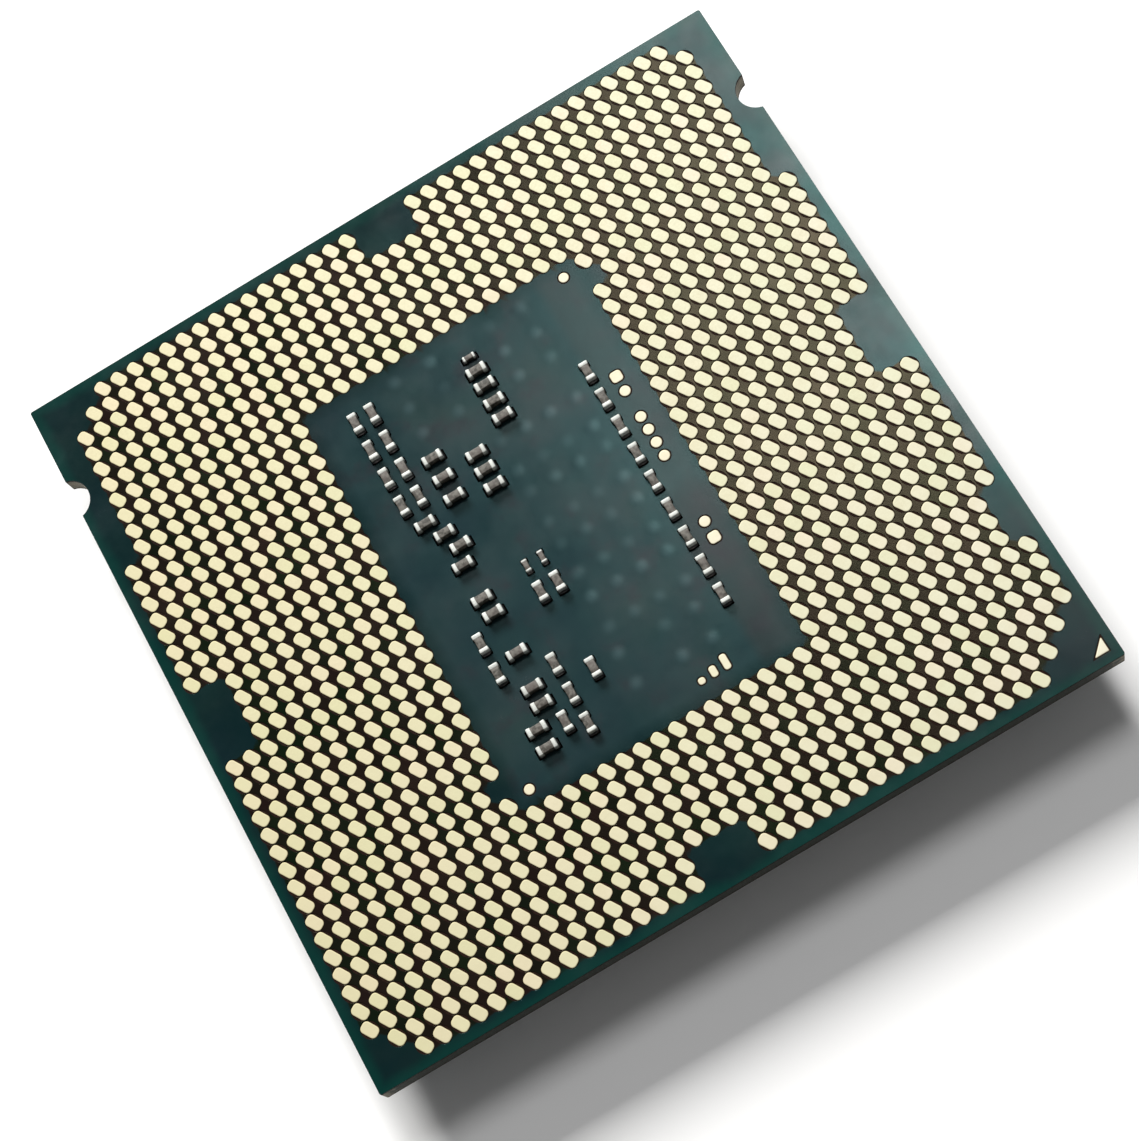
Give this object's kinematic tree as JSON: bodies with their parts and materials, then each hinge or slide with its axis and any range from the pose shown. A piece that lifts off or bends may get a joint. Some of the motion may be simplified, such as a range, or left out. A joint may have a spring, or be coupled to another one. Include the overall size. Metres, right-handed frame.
{
  "type": "cpu processor",
  "caption": "Desktop processor package: square substrate with a grid of slanted gold lands, ceramic capacitors in the middle and a metal heat spreader on the other side.",
  "frame": {"origin": "centre of the package outline, on the outer flat face of the heat spreader, which is the part's lowest plane", "axes": "+Z points out of the land face; +Y points to the edge that the two key notches are nearest to; +X is to the right when the lands face the viewer and +Y is up, so the pin-one corner is at +X -Y"},
  "size_m": [0.0376, 0.0376, 0.0048],
  "materials": {
    "laminate": "sawn glass-epoxy laminate, tan",
    "copper": "bare copper",
    "build_up_film": "dark brown resin film",
    "solder_mask": "satin dark blue-green solder mask",
    "land_gold": "pale gold plating, satin",
    "mark_gold": "gold plating, satin",
    "solder": "reflowed tin solder, bright",
    "terminal_tin": "matte tin plating",
    "capacitor_ceramic": "fired ceramic, grey-brown",
    "silicon": "lapped silicon",
    "thermal_paste": "grey paste",
    "underfill_epoxy": "cured dark epoxy",
    "nickel_plated_copper": "satin nickel plating on copper",
    "sealant": "black silicone bead"
  },
  "bodies": {
    "root": {"build_up_film_land_side": "build_up_film", "build_up_film_lid_side": "build_up_film", "capacitor_bodies_inner_left": "capacitor_ceramic", "capacitor_bodies_inner_middle": "capacitor_ceramic", "capacitor_bodies_left_stair": "capacitor_ceramic", "capacitor_bodies_lower_left": "capacitor_ceramic", "capacitor_bodies_lower_middle": "capacitor_ceramic", "capacitor_bodies_right_column": "capacitor_ceramic", "capacitor_bodies_small": "capacitor_ceramic", "capacitor_bodies_upper_left": "capacitor_ceramic", "capacitor_bodies_upper_middle": "capacitor_ceramic", "capacitor_pads": "mark_gold", "capacitor_solder": "solder", "capacitor_terminals_inner_left": "terminal_tin", "capacitor_terminals_inner_middle": "terminal_tin", "capacitor_terminals_left_stair": "terminal_tin", "capacitor_terminals_lower_left": "terminal_tin", "capacitor_terminals_lower_middle": "terminal_tin", "capacitor_terminals_right_column": "terminal_tin", "capacitor_terminals_small": "terminal_tin", "capacitor_terminals_upper_left": "terminal_tin", "capacitor_terminals_upper_middle": "terminal_tin", "copper_plane_land_side": "copper", "copper_plane_lid_side": "copper", "core_laminate": "laminate", "core_vias": "copper", "die_side_capacitor_bodies": "capacitor_ceramic", "die_side_capacitor_pads": "mark_gold", "die_side_capacitor_terminals": "terminal_tin", "die_side_solder": "solder", "fiducial_dots": "mark_gold", "heat_spreader_lid": "nickel_plated_copper", "index_bars": "mark_gold", "lands_east": "land_gold", "lands_north": "land_gold", "lands_south": "land_gold", "lands_west": "land_gold", "lid_sealant": "sealant", "lid_side_pads": "mark_gold", "lid_side_triangle": "mark_gold", "pin_one_triangle": "mark_gold", "silicon_die": "silicon", "solder_bumps": "solder", "solder_mask_land_side": "solder_mask", "solder_mask_lid_side": "solder_mask", "test_pads": "mark_gold", "thermal_paste": "thermal_paste", "underfill": "underfill_epoxy"}
  },
  "joints": []
}
